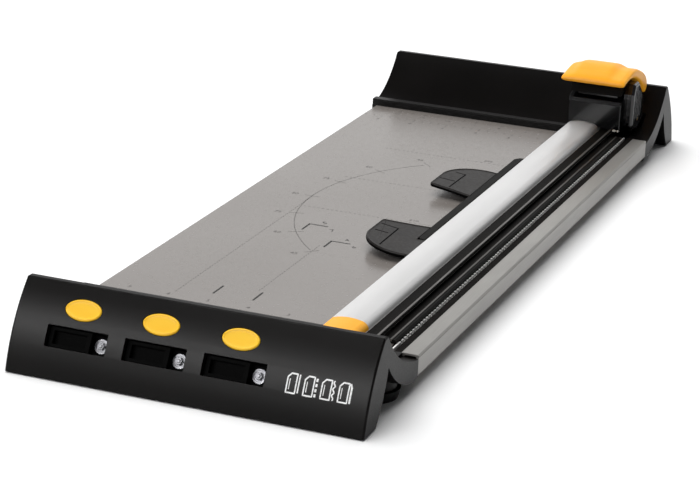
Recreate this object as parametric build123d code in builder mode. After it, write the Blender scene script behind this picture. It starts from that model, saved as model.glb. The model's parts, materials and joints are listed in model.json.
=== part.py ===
"""Rotary paper trimmer with a 460 mm cut, as an assembly of separate pieces.

Row frame, millimetres: X across the table with the cut line near +X, Y along the
cut from the front end cap (-Y) to the rear end cap (+Y), Z up from the table top
that the trimmer stands on.  The carriage is parked at the rear end of its rail.
"""
from build123d import *
import os

# ---------------------------------------------------------------- driving sizes
half_width = 107.0            # half the width across the end caps
fence_y = 233.25              # paper fences stand at +-fence_y
cut_x = 91.7                  # the cut line
table_z = 20.4                # top of the paper table
lap = 8.0                     # how far the table reaches under each fence
bed_end = fence_y + lap - 0.25
joint_gap = 0.15              # gap where the bed butts against a cap
cap_toe = lap + joint_gap - 0.25

# end cap section, u outwards from the fence and z up
ridge_z = 48.8
ridge_in = 58.6
ridge_out = 62.8
cap_foot_u = 89.5
cap_bottom = 0.8
skin = 2.6

# parking bay in the ramp of each cap
bay_x0 = cut_x - 45.0
bay_x1 = cut_x + 5.5
bay_end = 42.0
end_round = 1.2               # edge between a cap's outer face and its ends
ridge_round = 1.4
lip_x0 = -103.8               # left end of the paper fence on each cap
blade_slot = (cut_x - 0.7, cut_x + 0.7)
slot_floor = 18.3

# guide rail
rail_x0 = cut_x - 41.5
rail_x1 = cut_x - 19.5
rail_bottom = 24.2
rail_rear = fence_y + 29.0
rail_front = -fence_y + 5.0
rib_x0 = cut_x - 10.7
rib_x1 = cut_x - 9.7

# paper clamp
hinge_x = cut_x - 31.0
hinge_z = 24.6
hinge_rod_r = 1.2
clamp_x1 = cut_x - 1.7
pad_plane_y = -4.2            # the two pads mirror about this plane

# carriage, at its parked place
body_x0 = cut_x - 43.4
body_x1 = cut_x - 4.0
body_y0 = fence_y + 1.5
body_y1 = fence_y + 40.5
body_top = 47.6
facet_low = 45.0               # flat along the front top edge
facet_depth = 1.3
press_stroke = 3.4

# cutting wheel
blade_r = 11.0
blade_y = fence_y + 22.5
blade_z = 33.0
blade_t = 0.6

# storage windows and eject buttons on the front cap
bay_pitch = 47.4
bay_centres = [-66.9 + bay_pitch * i for i in range(3)]
window_w = 37.0
window_h = 12.4
window_u = 81.1
window_z = 23.2
window_out = Vector(0, -0.874, 0.486).normalized()
button_w = 22.0
button_h = 12.4
button_u = 71.9
button_z = 37.6
button_out = Vector(0, -0.75, 0.66).normalized()

foot_u = 26.0
foot_x = 88.0
foot_h = 6.0
foot_r = 13.5
foot_recess = 3.4
foot_screw_r = 1.5
boss_r = 13.0
boss_h = 12.0
cap_screw_x = [-90.0, -30.0, 50.0, 92.0]
cap_screw_y = fence_y - 12.0
cap_screw_hole_r = 1.9
shelf_z = 6.0
rail_screw_x = [cut_x - 36.0, cut_x - 26.0]
rail_screw_u = 12.0
rail_screw_r = 1.4

upright = (Align.CENTER, Align.CENTER, Align.MIN)

os.makedirs("parts", exist_ok=True)


def save(builder, label):
    """Label a finished piece and write it to its own file."""
    builder.part.label = label
    export_step(builder.part, "parts/" + label + ".step")


def yz_plane(x):
    """Sketch plane across the machine at x: sketch x is +Y, sketch y is +Z."""
    return Plane(origin=(x, 0, 0), x_dir=(0, 1, 0), z_dir=(1, 0, 0))


def xz_plane(y):
    """Sketch plane across the rail at y: sketch x is +X, sketch y is +Z."""
    return Plane(origin=(0, y, 0), x_dir=(1, 0, 0), z_dir=(0, -1, 0))


def bar(x0, x1, y0, y1, z0, z1, mode=Mode.ADD):
    """Straight bar between two corners, in the active part."""
    with Locations(((x0 + x1) / 2, (y0 + y1) / 2, (z0 + z1) / 2)):
        Box(x1 - x0, y1 - y0, z1 - z0, mode=mode)


def button_plane(x, depth=0.0):
    """Plane on the front cap's face at a button, depth inwards."""
    origin = Vector(x, -(fence_y + button_u), button_z) - button_out * depth
    return Plane(origin=origin, x_dir=(1, 0, 0), z_dir=button_out)


def window_plane(x, depth=0.0):
    """Plane on the front cap's face at a storage window, depth inwards."""
    origin = Vector(x, -(fence_y + window_u), window_z) - window_out * depth
    return Plane(origin=origin, x_dir=(1, 0, 0), z_dir=window_out)


# ------------------------------------------------------------------- end caps
def cap_shell(side):
    """Ramp and leaning outer wall of one end cap; side is +1 rear, -1 front."""

    def p(u, z):
        return (side * (fence_y + u), z)

    with BuildPart() as shell:
        # the full section, end to end
        with BuildSketch(yz_plane(-half_width)):
            with BuildLine():
                ThreePointArc(p(cap_toe, 18.2), p(38.0, 28.8), p(ridge_in, ridge_z))
                Line(p(ridge_in, ridge_z), p(ridge_out, ridge_z))
                ThreePointArc(p(ridge_out, ridge_z), p(80.0, 25.6), p(cap_foot_u, cap_bottom))
                Line(p(cap_foot_u, cap_bottom), p(72.0, cap_bottom))
                ThreePointArc(p(72.0, cap_bottom), p(62.4, 14.0), p(56.0, 30.0))
                ThreePointArc(p(56.0, 30.0), p(38.0, 14.6), p(15.0, 6.9))
                Line(p(15.0, 6.9), p(cap_toe, 7.8))
                Line(p(cap_toe, 7.8), p(cap_toe, 18.2))
            make_face()
        extrude(amount=2 * half_width)

        # pocket in the leaning wall, open below for its cover
        with BuildSketch(yz_plane(-half_width + skin)):
            with BuildLine():
                ThreePointArc(p(62.4, 44.6), p(77.3, 24.4), p(86.6, cap_bottom - 1))
                Line(p(86.6, cap_bottom - 1), p(75.0, cap_bottom - 1))
                ThreePointArc(p(75.0, cap_bottom - 1), p(65.0, 14.5), p(59.6, 30.0))
                Line(p(59.6, 30.0), p(59.6, 41.0))
                Line(p(59.6, 41.0), p(62.4, 44.6))
            make_face()
        extrude(amount=2 * (half_width - skin), mode=Mode.SUBTRACT)

        # ribbed pockets under the ramp, left of the parking bay
        pockets = 5
        left = -half_width + skin
        pitch = (bay_x0 - 2.0 - left) / pockets
        for i in range(pockets):
            with BuildSketch(yz_plane(left + i * pitch)):
                with BuildLine():
                    ThreePointArc(p(cap_toe + skin, 15.9), p(37.0, 25.2), p(52.6, 38.0))
                    Line(p(52.6, 38.0), p(52.6, 28.0))
                    Line(p(52.6, 28.0), p(40.0, 5.0))
                    Line(p(40.0, 5.0), p(cap_toe + skin, 5.0))
                    Line(p(cap_toe + skin, 5.0), p(cap_toe + skin, 15.9))
                make_face()
            extrude(amount=pitch - 2.0, mode=Mode.SUBTRACT)

        # fence lip along the paper side, lying over the table's end
        with BuildSketch(yz_plane(lip_x0)):
            with BuildLine():
                Polyline(p(0, table_z + 0.15), p(0, table_z + 4.6), p(0.5, table_z + 5.0),
                         p(7.0, table_z + 5.0), p(9.5, table_z + 2.6), p(18.0, table_z + 0.6),
                         p(18.0, 19.0), p(cap_toe, 17.6), p(cap_toe, table_z + 0.15),
                         p(0, table_z + 0.15))
            make_face()
        extrude(amount=bay_x0 - lip_x0)

        # parking bay for the carriage, with a slot for the cutting wheel
        toe = side * (fence_y + cap_toe - 1)
        end = side * (fence_y + bay_end)
        y0, y1 = min(toe, end), max(toe, end)
        bar(bay_x0, bay_x1, y0, y1, table_z, ridge_z, mode=Mode.SUBTRACT)
        bar(*blade_slot, y0, y1, slot_floor, table_z + 1, mode=Mode.SUBTRACT)

        # floor of the bay, flush with the table
        floor_in = side * (fence_y + cap_toe)
        floor_out = side * (fence_y + 16.0)
        floor_y = sorted((floor_in, floor_out))
        bar(bay_x0, blade_slot[0], *floor_y, 12.0, table_z)
        bar(blade_slot[1], bay_x1, *floor_y, 12.0, table_z)

        # shelf under the bed that takes the cap's screws
        shelf_in = side * (fence_y - 22.0)
        shelf_out = side * (fence_y + 20.0)
        shelf_y = sorted((shelf_in, shelf_out))
        bar(-96.0, 98.0, *shelf_y, shelf_z, shelf_z + 2.25)
        for x in cap_screw_x:
            with Locations((x, side * cap_screw_y, shelf_z)):
                Cylinder(2.2, 6.0, mode=Mode.SUBTRACT)

        # counterbored holes for the rail's screws
        for x in rail_screw_x:
            with Locations((x, side * (fence_y + rail_screw_u), shelf_z)):
                Cylinder(3.5, 12.0, mode=Mode.SUBTRACT)
                Cylinder(rail_screw_r + 0.1, 30.0, mode=Mode.SUBTRACT)

        # bosses for the feet
        for x in (-foot_x, foot_x):
            with Locations((x, side * (fence_y + foot_u), foot_h)):
                Cylinder(boss_r, boss_h, align=upright)
                Cylinder(foot_screw_r, boss_h - 2.0, align=upright, mode=Mode.SUBTRACT)

        # rounded edges round the outer face and along the ridge
        end_arcs = [e for e in shell.edges().filter_by(GeomType.CIRCLE)
                    if abs(abs(e.center().X) - half_width) < 0.01]
        outermost = ShapeList(end_arcs).group_by(Axis.Y)[-1 if side > 0 else 0]
        fillet(outermost, radius=end_round)
        ridge = shell.edges().filter_by(Axis.X).group_by(Axis.Z)[-1]
        fillet(ridge, radius=ridge_round)
    return shell.part


with BuildPart() as front_cap:
    add(cap_shell(-1))
    for x in bay_centres:
        with BuildSketch(window_plane(x, 8.0)):
            RectangleRounded(window_w, window_h, 0.6)
        extrude(amount=14.0, mode=Mode.SUBTRACT)
        with BuildSketch(button_plane(x, 5.0)):
            Ellipse(button_w / 2 + 0.3, button_h / 2 + 0.3)
        extrude(amount=10.0, mode=Mode.SUBTRACT)
save(front_cap, "front_cap")

with BuildPart() as rear_cap:
    add(cap_shell(1))
save(rear_cap, "rear_cap")


def cap_cover(side):
    """Flat plate that closes the pocket in a cap's leaning wall from below."""
    y0, y1 = sorted((side * (fence_y + 75.1), side * (fence_y + 85.4)))
    bar(-half_width + skin + 0.2, half_width - skin - 0.2, y0, y1, cap_bottom, cap_bottom + 1.8)


with BuildPart() as front_cap_cover:
    cap_cover(-1)
save(front_cap_cover, "front_cap_cover")

with BuildPart() as rear_cap_cover:
    cap_cover(1)
save(rear_cap_cover, "rear_cap_cover")

# ------------------------------------------------------------ cartridge store
rack_front = 3.6
rack_depth = 11.6
rack_wall = 1.4
stored_w = window_w - 1.0
stored_h = window_h - 1.0
stored_recess = 3.4
stored_len = rack_front + rack_depth - rack_wall - 0.4 - stored_recess
seat_depth = 10.4

with BuildPart() as cartridge_rack:
    for x in bay_centres:
        with BuildSketch(window_plane(x, rack_front + rack_depth)):
            Rectangle(window_w + 2 * rack_wall, window_h + 2 * rack_wall)
        extrude(amount=rack_depth)
        with BuildSketch(window_plane(x, rack_front + rack_depth - rack_wall)):
            Rectangle(window_w, window_h)
        extrude(amount=rack_depth, mode=Mode.SUBTRACT)
        # post that carries the button's spring
        with BuildSketch(button_plane(x, seat_depth + 1.6)):
            Rectangle(12.0, 7.0)
        extrude(amount=1.6)
        with BuildSketch(yz_plane(x - 5.0)):
            with BuildLine():
                Polyline((-(fence_y + 62.8), 29.4), (-(fence_y + 66.2), 28.6),
                         (-(fence_y + 69.0), 24.4), (-(fence_y + 65.6), 22.6),
                         (-(fence_y + 62.8), 29.4))
            make_face()
        extrude(amount=10.0)
    # strap joining the three sleeves along their backs
    with BuildSketch(window_plane(bay_centres[1], rack_front + rack_depth)):
        Rectangle(2 * bay_pitch + window_w, 6.0)
    extrude(amount=rack_wall)
save(cartridge_rack, "cartridge_rack")

for i, x in enumerate(bay_centres):
    with BuildPart() as stored_cartridge:
        with BuildSketch(window_plane(x, stored_recess + stored_len)):
            RectangleRounded(stored_w, stored_h, 0.8)
        extrude(amount=stored_len)
        # finger groove on the left, wheel window on the right
        with BuildSketch(window_plane(x, stored_recess)):
            with Locations((-5.5, 0)):
                Rectangle(20.0, 7.6)
        extrude(amount=-3.2, mode=Mode.SUBTRACT)
        with BuildSketch(window_plane(x, stored_recess)):
            with Locations((12.2, 0)):
                Rectangle(9.6, stored_h + 1)
        extrude(amount=-5.0, mode=Mode.SUBTRACT)
    save(stored_cartridge, "stored_cartridge_%d" % (i + 1))

    with BuildPart() as stored_wheel:
        with BuildSketch(window_plane(x, stored_recess + 4.9)):
            with Locations((12.2, 0)):
                Circle(4.6)
        extrude(amount=0.9)
        with BuildSketch(window_plane(x, stored_recess + 4.0)):
            with Locations((12.2, 0)):
                Circle(2.6)
        extrude(amount=1.8)
        with BuildSketch(window_plane(x, stored_recess + 2.2)):
            with Locations((12.2, 0)):
                Circle(1.2)
        extrude(amount=-0.8, mode=Mode.SUBTRACT)
    save(stored_wheel, "stored_wheel_%d" % (i + 1))

    with BuildPart() as button:
        with BuildSketch(button_plane(x, 5.0)):
            Ellipse(button_w / 2, button_h / 2)
        extrude(amount=6.0)
        top = button.faces().sort_by(Axis(origin=(0, 0, 0), direction=button_out))[-1]
        fillet(top.edges(), radius=1.0)
        with BuildSketch(button_plane(x, 5.8)):
            Ellipse(button_w / 2 + 1.3, button_h / 2 + 0.9)
        extrude(amount=1.4)
    save(button, "button_%d" % (i + 1))

    with BuildPart() as button_spring:
        with BuildSketch(button_plane(x, seat_depth)):
            Circle(2.6)
            Circle(1.9, mode=Mode.SUBTRACT)
        extrude(amount=seat_depth - 5.8)
    save(button_spring, "button_spring_%d" % (i + 1))

# ---------------------------------------------------------------- table and bed
sheet_t = 1.6
table_x0 = -101.3
strip_x0 = cut_x - 3.1
strip_x1 = cut_x + 5.2
bed_bottom = 8.4

with BuildPart() as table_top:
    bar(table_x0, strip_x0 - 0.1, -bed_end, bed_end, table_z - sheet_t, table_z)
    bar(table_x0, table_x0 + sheet_t, -bed_end, bed_end, 8.8, table_z)
    outer = table_top.edges().filter_by(Axis.Y).group_by(Axis.X)[0].sort_by(Axis.Z)[-1]
    fillet(outer, radius=1.2)
save(table_top, "table_top")

with BuildPart() as bed_extrusion:
    with BuildSketch(xz_plane(bed_end)):
        with BuildLine():
            Polyline((44.0, bed_bottom), (half_width, bed_bottom), (half_width, table_z - 1.7),
                     (half_width - 0.5, table_z - 1.4), (half_width, table_z - 1.1),
                     (half_width, table_z - 0.5), (half_width - 0.5, table_z),
                     (strip_x1, table_z), (strip_x1, 17.4), (strip_x0, 17.4),
                     (strip_x0, table_z - sheet_t), (44.0, table_z - sheet_t), (44.0, bed_bottom))
        make_face()
        with Locations((55.0, 13.6)):
            Rectangle(18.0, 6.8, mode=Mode.SUBTRACT)
        with Locations((76.0, 13.6)):
            Rectangle(20.0, 6.8, mode=Mode.SUBTRACT)
        with Locations(((strip_x0 + strip_x1) / 2, 12.8)):
            Rectangle(6.6, 5.2, mode=Mode.SUBTRACT)
        with Locations((102.0, 14.6)):
            RectangleRounded(7.2, 9.2, 1.0, mode=Mode.SUBTRACT)
    extrude(amount=2 * bed_end)
    for side in (-1, 1):
        for x in cap_screw_x[2:]:
            with Locations((x, side * cap_screw_y, bed_bottom)):
                Cylinder(cap_screw_hole_r, 1.8, align=upright, mode=Mode.SUBTRACT)
save(bed_extrusion, "bed_extrusion")

with BuildPart() as left_edge_rail:
    with BuildSketch(xz_plane(bed_end)):
        with Locations((-89.0, (bed_bottom + table_z - sheet_t) / 2)):
            Rectangle(20.0, table_z - sheet_t - bed_bottom)
            Rectangle(16.8, table_z - sheet_t - bed_bottom - 3.2, mode=Mode.SUBTRACT)
    extrude(amount=2 * bed_end)
    for side in (-1, 1):
        with Locations((cap_screw_x[0], side * cap_screw_y, bed_bottom)):
            Cylinder(cap_screw_hole_r, 1.6, align=upright, mode=Mode.SUBTRACT)
save(left_edge_rail, "left_edge_rail")

with BuildPart() as cross_bars:
    for y in (-cap_screw_y, -110.0, 0.0, 110.0, cap_screw_y):
        bar(-78.9, 43.9, y - 9.0, y + 9.0, bed_bottom, table_z - sheet_t)
        bar(-79.5, 44.5, y - 7.4, y + 7.4, bed_bottom + 1.6, table_z - sheet_t - 1.6,
            mode=Mode.SUBTRACT)
    for side in (-1, 1):
        with Locations((cap_screw_x[1], side * cap_screw_y, bed_bottom)):
            Cylinder(cap_screw_hole_r, 1.6, align=upright, mode=Mode.SUBTRACT)
save(cross_bars, "cross_bars")

ledger_x0 = cut_x - 1.75
ledger_x1 = cut_x - 0.75
with BuildPart() as cutting_strip:
    bar(strip_x0, strip_x1, -bed_end, bed_end, 17.4, table_z)
    bar(blade_slot[0], blade_slot[1], -bed_end, bed_end, slot_floor, table_z + 1,
        mode=Mode.SUBTRACT)
    bar(ledger_x0, blade_slot[0], -bed_end, bed_end, 18.6, table_z + 1, mode=Mode.SUBTRACT)
save(cutting_strip, "cutting_strip")

tooth_pitch = 4.5
tooth_gap = 2.4
tooth_depth = 1.6
teeth = int(2 * (fence_y - 6) / tooth_pitch)
with BuildPart() as ledger_strip:
    bar(ledger_x0, ledger_x1, -bed_end, bed_end, 18.6, table_z + 0.2)
    with Locations((cut_x - 1.25, 0, table_z + 0.2)):
        with GridLocations(1.0, tooth_pitch, 1, teeth):
            Box(2.0, tooth_gap, 2 * tooth_depth, mode=Mode.SUBTRACT)
save(ledger_strip, "ledger_strip")


def screw(head_r, head_h, shank_r, shank_l):
    """Pan-head screw standing head down, its shank rising from the origin."""
    Cylinder(shank_r, shank_l, align=upright)
    Cylinder(head_r, head_h, align=(Align.CENTER, Align.CENTER, Align.MAX))
    slot_l, slot_w, slot_d = head_r * 1.2, 0.8, 1.2
    with Locations((0, 0, -head_h)):
        Box(slot_l, slot_w, slot_d, mode=Mode.SUBTRACT)
        Box(slot_w, slot_l, slot_d, mode=Mode.SUBTRACT)


with BuildPart() as screw_m4:
    screw(head_r=3.8, head_h=2.2, shank_r=1.85, shank_l=4.1)
with BuildPart() as cap_screws:
    for side in (-1, 1):
        for x in cap_screw_x:
            with Locations((x, side * cap_screw_y, shelf_z)):
                add(screw_m4.part)
save(cap_screws, "cap_screws")

with BuildPart() as rubber_feet:
    for side in (-1, 1):
        for x in (-foot_x, foot_x):
            with Locations((x, side * (fence_y + foot_u), 0)):
                Cone(foot_r, foot_r + 1.5, foot_h, align=upright)
                Cylinder(4.2, foot_recess, align=upright, mode=Mode.SUBTRACT)
                Cylinder(foot_screw_r + 0.1, foot_h, align=upright, mode=Mode.SUBTRACT)
save(rubber_feet, "rubber_feet")

with BuildPart() as edge_pads:
    for side in (-1, 1):
        for x in (-half_width + 16.0, 0.0, half_width - 16.0):
            y0, y1 = sorted((side * (fence_y + 76.0), side * (fence_y + 84.0)))
            bar(x - 7.0, x + 7.0, y0, y1, 0.0, cap_bottom)
save(edge_pads, "edge_pads")

with BuildPart() as screw_m3:
    screw(head_r=3.2, head_h=1.8, shank_r=1.4, shank_l=9.0)
with BuildPart() as rail_screws:
    for side in (-1, 1):
        for x in rail_screw_x:
            with Locations((x, side * (fence_y + rail_screw_u), shelf_z + 6.0)):
                add(screw_m3.part)
                Cylinder(rail_screw_r, 11.0, align=upright)
save(rail_screws, "rail_screws")

with BuildPart() as foot_screws:
    for side in (-1, 1):
        for x in (-foot_x, foot_x):
            with Locations((x, side * (fence_y + foot_u), foot_recess)):
                add(screw_m3.part)
save(foot_screws, "foot_screws")

# ------------------------------------------------------------------ guide rail
crown_left = (rail_x0, 28.8)
crown_mid = (rail_x0 + 8.6, 30.4)
crown_shoulder = (rail_x0 + 17.2, 29.6)
crown_round = (rail_x0 + 20.5, 28.1)
crown_right = (rail_x1, 25.4)


def crown_section(bottom, grow=0.0):
    """Section of the rail's crowned top down to a level, grown outwards."""
    left = (crown_left[0] - grow, crown_left[1] + grow)
    shoulder = (crown_shoulder[0], crown_shoulder[1] + grow)
    right = (crown_right[0] + grow, crown_right[1])
    with BuildSketch() as section:
        with BuildLine():
            ThreePointArc(left, (crown_mid[0], crown_mid[1] + grow), shoulder)
            ThreePointArc(shoulder, (crown_round[0] + grow * 0.7, crown_round[1] + grow * 0.7),
                          right)
            Polyline(right, (right[0], bottom), (left[0], bottom), left)
        make_face()
    return section.sketch


with BuildPart() as guide_rail:
    with BuildSketch(xz_plane(rail_rear)):
        add(crown_section(rail_bottom))
        with BuildLine():
            Line((rail_x0 + 1.6, rail_bottom - 1), (rail_x0 + 1.6, 27.5))
            ThreePointArc((rail_x0 + 1.6, 27.5), (rail_x0 + 8.6, 28.8), (rail_x0 + 16.6, 28.1))
            Line((rail_x0 + 16.6, 28.1), (rail_x0 + 19.6, 26.0))
            Line((rail_x0 + 19.6, 26.0), (rail_x0 + 20.2, rail_bottom - 1))
            Line((rail_x0 + 20.2, rail_bottom - 1), (rail_x0 + 1.6, rail_bottom - 1))
        make_face(mode=Mode.SUBTRACT)
    extrude(amount=rail_rear - rail_front)
    # channel for the carriage's shoes, with a lipped rib along its right side
    with BuildSketch(xz_plane(rail_rear)):
        with BuildLine():
            Polyline((rail_x0 + 20.3, rail_bottom), (rib_x1, rail_bottom), (rib_x1, 26.9),
                     (rib_x0 - 0.3, 26.9), (rib_x0 - 0.3, 26.4), (rib_x0, 26.4), (rib_x0, 25.0),
                     (rail_x0 + 20.3, 25.0), (rail_x0 + 20.3, rail_bottom))
        make_face()
    extrude(amount=2 * rail_rear)
save(guide_rail, "guide_rail")

with BuildPart() as glide_strip:
    bar(rail_x1 + 0.9, rib_x0 - 0.1, -rail_rear, rail_rear, 25.0, 25.45)
save(glide_strip, "glide_strip")

with BuildPart() as rib_cover:
    bar(rib_x1, rib_x1 + 0.45, -rail_rear, rail_rear, 25.0, 26.4)
save(rib_cover, "rib_cover")

block_x0 = rail_x0 + 1.9
block_x1 = rail_x0 + 19.2
rod_end = fence_y - 8.0
with BuildPart() as rail_end_front:
    with BuildSketch(xz_plane(rail_front)):
        add(crown_section(table_z))
    extrude(amount=fence_y + rail_front + 24.0)
    bar(block_x0, block_x1, rail_front, rail_front + 9.0, rail_bottom, 25.9)
    bar(block_x0, block_x1, rail_front + 5.0, rail_front + 9.0, table_z, rail_bottom)
    with Locations((hinge_x, rail_front, hinge_z)):
        Cylinder(hinge_rod_r, 30.0, rotation=(90, 0, 0), mode=Mode.SUBTRACT)
    bar(rail_x0 + 20.3, rail_x1 + 1, -rail_rear - 1, rail_front + 1, rail_bottom, 25.05,
        mode=Mode.SUBTRACT)
    bar(rail_x1, rib_x1, -rail_rear, -fence_y - 0.6, table_z, rail_bottom)
    for x in rail_screw_x:
        with Locations((x, -(fence_y + rail_screw_u), table_z)):
            Cylinder(rail_screw_r, 5.2, mode=Mode.SUBTRACT)
save(rail_end_front, "rail_end_front")

with BuildPart() as rail_end_rear:
    with BuildSketch(xz_plane(rail_rear + 6.0)):
        add(crown_section(table_z))
    extrude(amount=6.0)
    bar(block_x0, block_x1, rod_end, rail_rear, table_z, 25.9)
    with Locations((hinge_x, rod_end, hinge_z)):
        Cylinder(hinge_rod_r, 18.0, rotation=(90, 0, 0), mode=Mode.SUBTRACT)
    bar(rail_x1, rib_x1, fence_y + 0.6, rail_rear, table_z, rail_bottom)
    bar(block_x1, rail_x1, fence_y + 0.6, rail_rear, table_z, rail_bottom)
    for x in rail_screw_x:
        with Locations((x, fence_y + rail_screw_u, table_z)):
            Cylinder(rail_screw_r, 5.2, mode=Mode.SUBTRACT)
save(rail_end_rear, "rail_end_rear")

with BuildPart() as hinge_rod:
    with Locations((hinge_x, 0, hinge_z)):
        Cylinder(hinge_rod_r, 2 * (rod_end + 7.0), rotation=(90, 0, 0))
save(hinge_rod, "hinge_rod")

# ----------------------------------------------------------------- paper clamp
web_end = fence_y - 22.0
web_low = 20.9
web_high = 22.2
spine_x0 = cut_x - 50.0
spine_x1 = cut_x - 44.3
spine_y0 = -67.5
spine_y1 = 134.0
spine_top = 26.4
lug_y = [-180.0, -90.0, 0.0, 90.0, 180.0]
spring_y = [-135.0, 135.0]

with BuildPart() as clamp_web:
    bar(hinge_x - 1.2, cut_x - 9.3, -web_end, web_end, web_low, web_low + 1.1)
    bar(hinge_x - 2.4, hinge_x + 0.4, -web_end, web_end, web_high - 0.6, web_high + 1.1)
    bar(spine_x0, hinge_x, spine_y0, spine_y1, web_high, web_high + 1.1)
    for y in lug_y:
        bar(hinge_x - 2.4, hinge_x + 2.4, y - 3.0, y + 3.0, web_low, 26.6)
    for y in lug_y:
        with Locations((hinge_x, y, hinge_z)):
            Cylinder(hinge_rod_r + 0.05, 8.0, rotation=(90, 0, 0), mode=Mode.SUBTRACT)
    for y in spring_y:
        with Locations((hinge_x, y, hinge_z)):
            Cylinder(2.15, 32.0, rotation=(90, 0, 0), mode=Mode.SUBTRACT)
save(clamp_web, "clamp_web")

with BuildPart() as clamp_springs:
    for y in spring_y:
        with Locations((hinge_x, y, hinge_z)):
            Cylinder(1.9, 30.0, rotation=(90, 0, 0))
    for y in spring_y:
        with Locations((hinge_x, y, hinge_z)):
            Cylinder(hinge_rod_r + 0.1, 32.0, rotation=(90, 0, 0), mode=Mode.SUBTRACT)
save(clamp_springs, "clamp_springs")

with BuildPart() as clamp_spine:
    bar(spine_x0, spine_x1, spine_y0, spine_y1, web_high + 1.1, spine_top)
    rear_end = clamp_spine.edges().filter_by(Axis.Z).group_by(Axis.Y)[-1].sort_by(Axis.X)
    chamfer(rear_end[0], length=4.0, length2=3.0)
    front_end = clamp_spine.edges().filter_by(Axis.Z).group_by(Axis.Y)[0].sort_by(Axis.X)
    fillet(front_end[0], radius=5.0)
    top_edges = clamp_spine.faces().sort_by(Axis.Z)[-1].edges()
    fillet(top_edges, radius=0.5)
save(clamp_spine, "clamp_spine")

pad_in = 37.3                # from the mirror plane to a pad's straight edge
pad_len = 58.0
pad_w = 30.5
pad_z = 23.6
pad_t = 3.0
tongue_x1 = rail_x0 - 0.8    # the front pad reaches the rail past the spine's end
pad_tilt = 5.5


def clamp_pad(side):
    """One finger pad left of the spine, rising towards its free end."""
    lean = Plane(origin=(spine_x0 + 0.4, pad_plane_y, pad_z), x_dir=(-1, 0, 0), z_dir=(0, 0, 1))
    lean = lean.rotated((0, pad_tilt, 0))

    def q(w, length):
        return (w, -side * (pad_in + length))

    with BuildPart() as pad:
        with BuildSketch(lean):
            with BuildLine():
                ThreePointArc(q(0, 0), q(14.0, 3.4), q(27.8, 6.0))
                ThreePointArc(q(27.8, 6.0), q(29.8, 7.0), q(pad_w, 9.0))
                Line(q(pad_w, 9.0), q(pad_w, 30.0))
                ThreePointArc(q(pad_w, 30.0), q(23.8, 48.6), q(0, pad_len))
                Line(q(0, pad_len), q(0, 0))
            make_face()
        extrude(amount=pad_t)
        bar(spine_x0, spine_x1, -fence_y, fence_y, 20.0, 30.0, mode=Mode.SUBTRACT)
    return pad.part


pad_front_end = pad_plane_y - pad_in - pad_len
with BuildPart() as clamp_pad_front:
    add(clamp_pad(-1))
    bar(spine_x0 - 0.5, tongue_x1, pad_front_end, spine_y0, pad_z, pad_z + pad_t)
save(clamp_pad_front, "clamp_pad_front")

with BuildPart() as clamp_pad_rear:
    add(clamp_pad(1))
save(clamp_pad_rear, "clamp_pad_rear")

strip_end = fence_y - 1.5
inlay_x0 = cut_x - 5.4
with BuildPart() as clamp_strip:
    bar(cut_x - 9.2, clamp_x1, -strip_end, strip_end, web_low, web_low + 2.0)
    bar(inlay_x0, inlay_x0 + 1.1, -strip_end, strip_end, web_low + 1.0, web_low + 3.0,
        mode=Mode.SUBTRACT)
    toe_edge = clamp_strip.edges().filter_by(Axis.Y).group_by(Axis.X)[-1].sort_by(Axis.Z)[-1]
    chamfer(toe_edge, length=1.0)
save(clamp_strip, "clamp_strip")

with BuildPart() as clamp_inlay:
    bar(inlay_x0, inlay_x0 + 1.1, -strip_end, strip_end, web_low + 1.0, web_low + 2.3)
save(clamp_inlay, "clamp_inlay")

# -------------------------------------------------------------------- carriage
well_x0 = body_x0 + 4.5
well_x1 = body_x1 - 4.5
well_y0 = fence_y + 8.0
well_y1 = fence_y + 29.0
well_floor = 32.6
body_crest = 51.2
run_gap = 0.3


def from_fence(y, z):
    """Point of a carriage outline, y measured from the rear fence."""
    return (fence_y + y, z)


with BuildPart() as carriage_body:
    with BuildSketch(yz_plane(body_x0)):
        with BuildLine():
            Polyline((body_y0, 27.0), (body_y0, facet_low), (body_y0 + facet_depth, body_top),
                     from_fence(14.5, body_crest), from_fence(27.5, body_crest),
                     (body_y1, 43.0), (body_y1, 27.0), (body_y0, 27.0))
        make_face()
    extrude(amount=body_x1 - body_x0)
    front_corners = carriage_body.edges().filter_by(Axis.Z).group_by(Axis.Y)[0]
    fillet(front_corners, radius=1.0)
    # tunnel that clears the crowned rail
    with BuildSketch(xz_plane(body_y1 + 1)):
        add(crown_section(20.0, grow=run_gap))
    extrude(amount=body_y1 - body_y0 + 2, mode=Mode.SUBTRACT)
    bar(body_x0 - 1, rail_x0, body_y0 - 1, body_y1 + 1, 20.0, 29.9, mode=Mode.SUBTRACT)
    # well for the press block
    bar(well_x0, well_x1, well_y0, well_y1, well_floor, body_crest + 1, mode=Mode.SUBTRACT)
save(carriage_body, "carriage_body")

shoe_y = [body_y0 + 10.0, body_y1 - 10.0]
with BuildPart() as glide_shoes:
    for y in shoe_y:
        bar(rail_x1 + 0.7, rib_x0 - 0.7, y - 5.0, y + 5.0, 25.55, 27.0)
        bar(rib_x0 - 0.8, rib_x0 - 0.1, y - 5.0, y + 5.0, 25.55, 26.25)
save(glide_shoes, "glide_shoes")

post_xy = [(well_x0 + 6.0, (well_y0 + well_y1) / 2), (well_x1 - 6.0, (well_y0 + well_y1) / 2)]
post_r = 1.5
block_low = 39.0
with BuildPart() as guide_posts:
    for x, y in post_xy:
        with Locations((x, y, well_floor)):
            Cylinder(post_r, 16.0, align=upright)
save(guide_posts, "guide_posts")

with BuildPart() as press_springs:
    for x, y in post_xy:
        with Locations((x, y, well_floor)):
            Cylinder(2.9, block_low - well_floor, align=upright)
            Cylinder(2.1, block_low - well_floor, align=upright, mode=Mode.SUBTRACT)
save(press_springs, "press_springs")

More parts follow.
